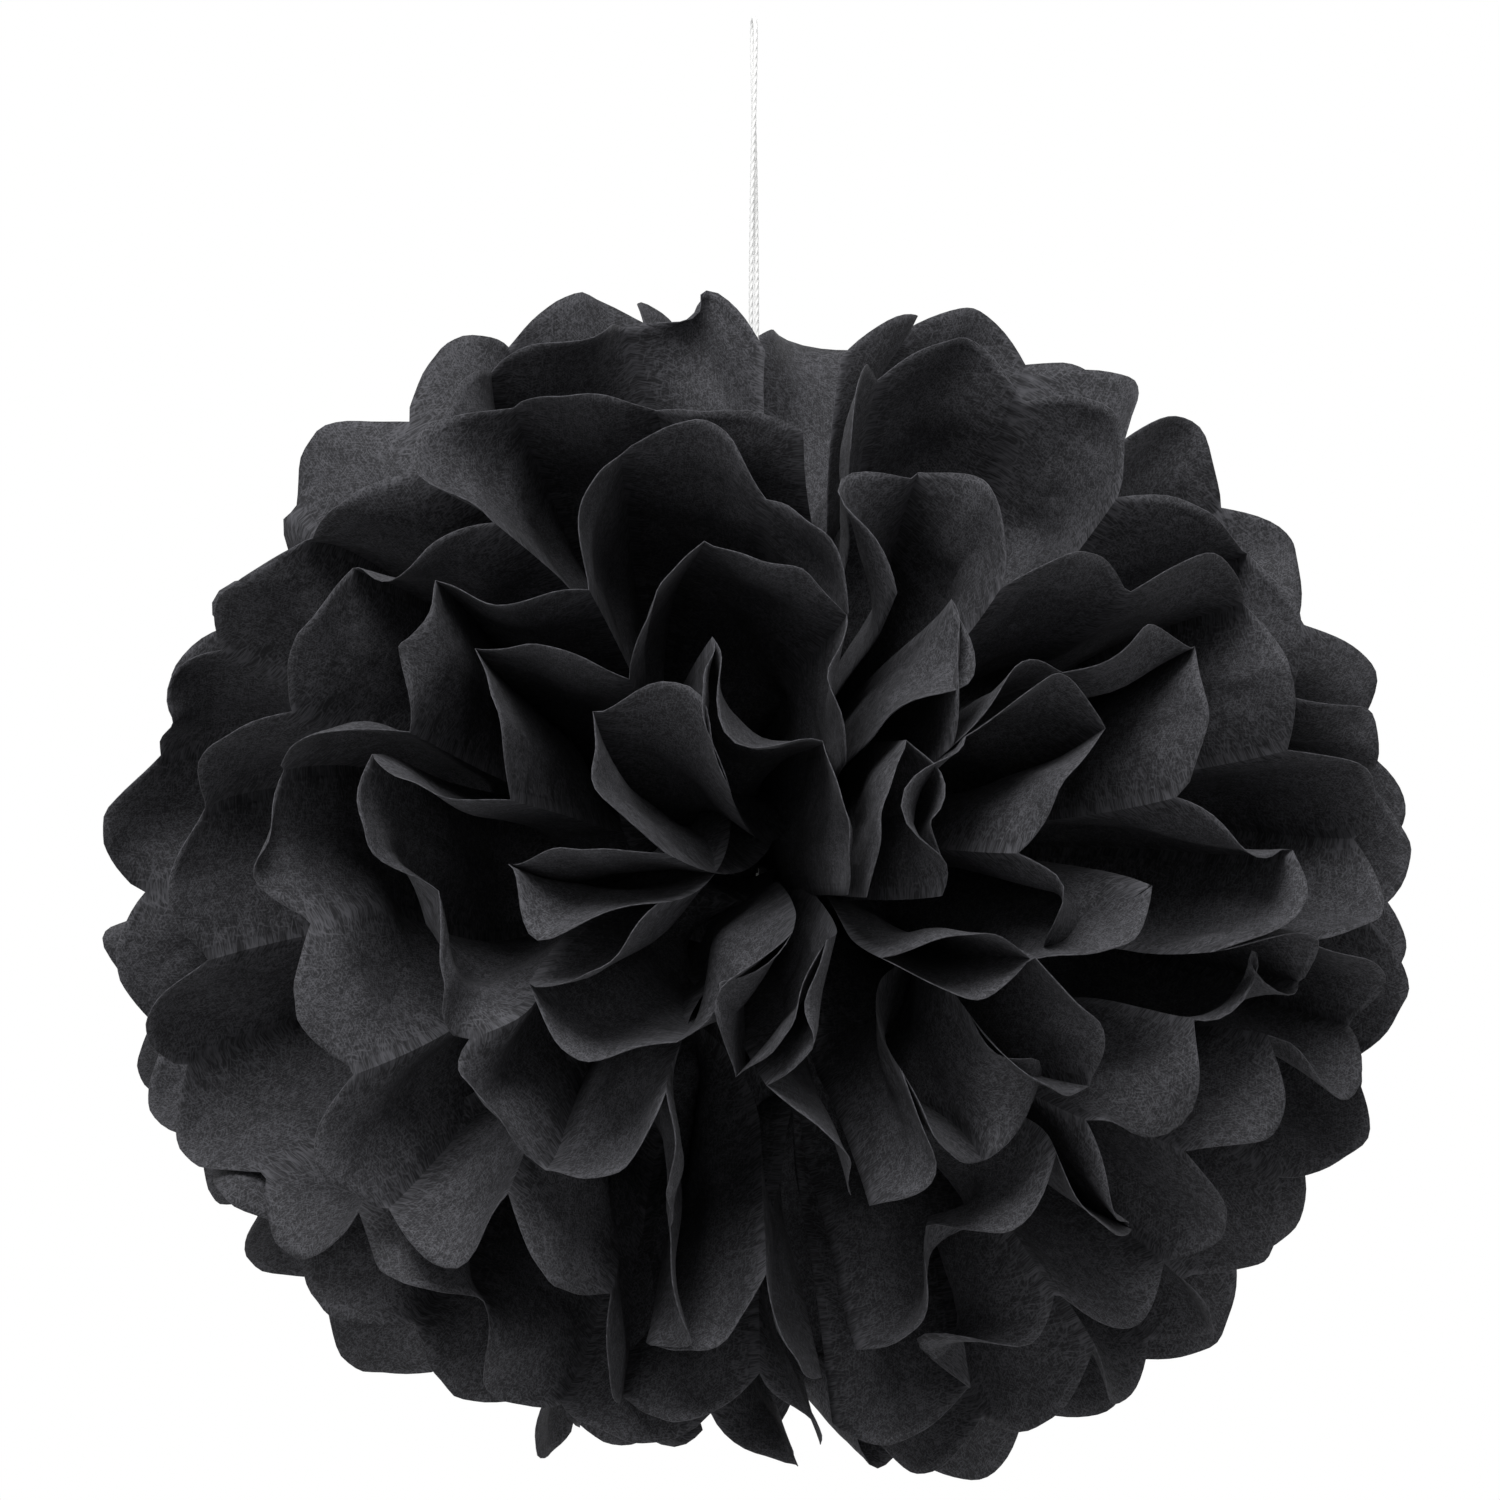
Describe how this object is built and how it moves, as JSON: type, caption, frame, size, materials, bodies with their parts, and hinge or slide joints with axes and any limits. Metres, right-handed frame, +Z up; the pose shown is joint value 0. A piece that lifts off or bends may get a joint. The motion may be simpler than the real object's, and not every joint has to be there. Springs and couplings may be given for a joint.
{
  "type": "tissue paper pom-pom",
  "caption": "Hanging puff ball of black tissue paper: pleated sheets tied at the waist and opened into nested cups of scalloped petals, on a white string loop.",
  "frame": {"origin": "top of the hanging string's loop, where a hook holds it", "axes": "+Z up along the hanging string, -Y the front pole that the paper cups open towards, +X to the right fan"},
  "size_m": [0.4008, 0.4043, 0.4426],
  "materials": {
    "tissue_paper": "matt black tissue with short visible fibres",
    "cotton_string": "white twisted string"
  },
  "bodies": {
    "root": {"leaf_01": "tissue_paper", "leaf_02": "tissue_paper", "leaf_03": "tissue_paper", "leaf_04": "tissue_paper", "leaf_05": "tissue_paper", "leaf_06": "tissue_paper", "leaf_07": "tissue_paper", "leaf_08": "tissue_paper", "leaf_09": "tissue_paper", "leaf_10": "tissue_paper", "waist_tie": "cotton_string", "tie_knot": "cotton_string", "hanging_string": "cotton_string"}
  },
  "joints": []
}
